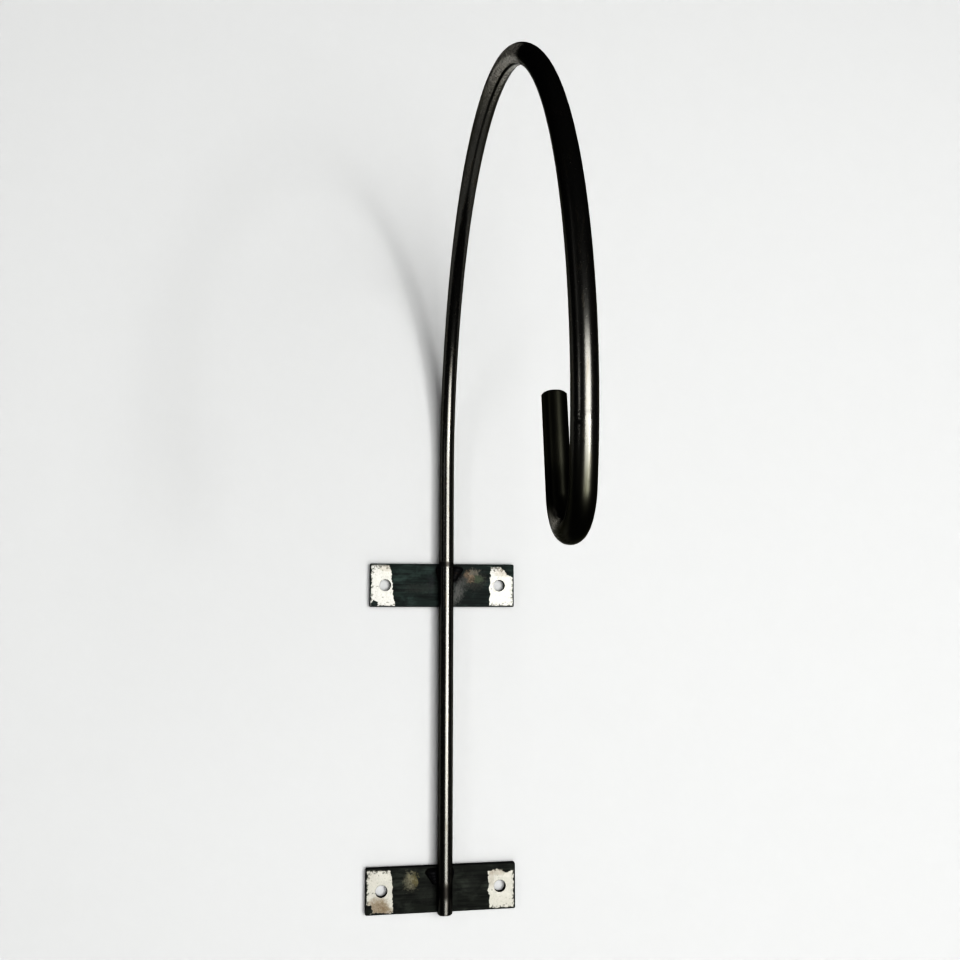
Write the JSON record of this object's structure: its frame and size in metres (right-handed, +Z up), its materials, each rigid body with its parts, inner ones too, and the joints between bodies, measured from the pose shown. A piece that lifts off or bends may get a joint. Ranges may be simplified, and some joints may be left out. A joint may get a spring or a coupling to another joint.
{
  "type": "bicycle wall rack",
  "caption": "Round steel bar bent into a tall arch ending in a hook, welded to flat wall plates with screw holes; holds a bicycle off the wall by its frame tube.",
  "frame": {"origin": "middle of the upper plate's back face, on the wall", "axes": "+Z up the wall, +Y into the wall, -Y out into the room, +X to the right for someone facing the wall"},
  "size_m": [0.13, 0.4748, 0.6251],
  "materials": {
    "bar_steel": "smooth dark oiled mill finish",
    "plate_steel": "dark mill scale, ground bright around the screw holes",
    "weld_metal": "dark as-welded bead"
  },
  "bodies": {
    "root": {"bent_bar": "bar_steel", "upper_wall_plate": "plate_steel", "lower_wall_plate": "plate_steel", "upper_left_weld": "weld_metal", "upper_right_weld": "weld_metal", "lower_left_weld": "weld_metal", "lower_right_weld": "weld_metal"}
  },
  "joints": []
}
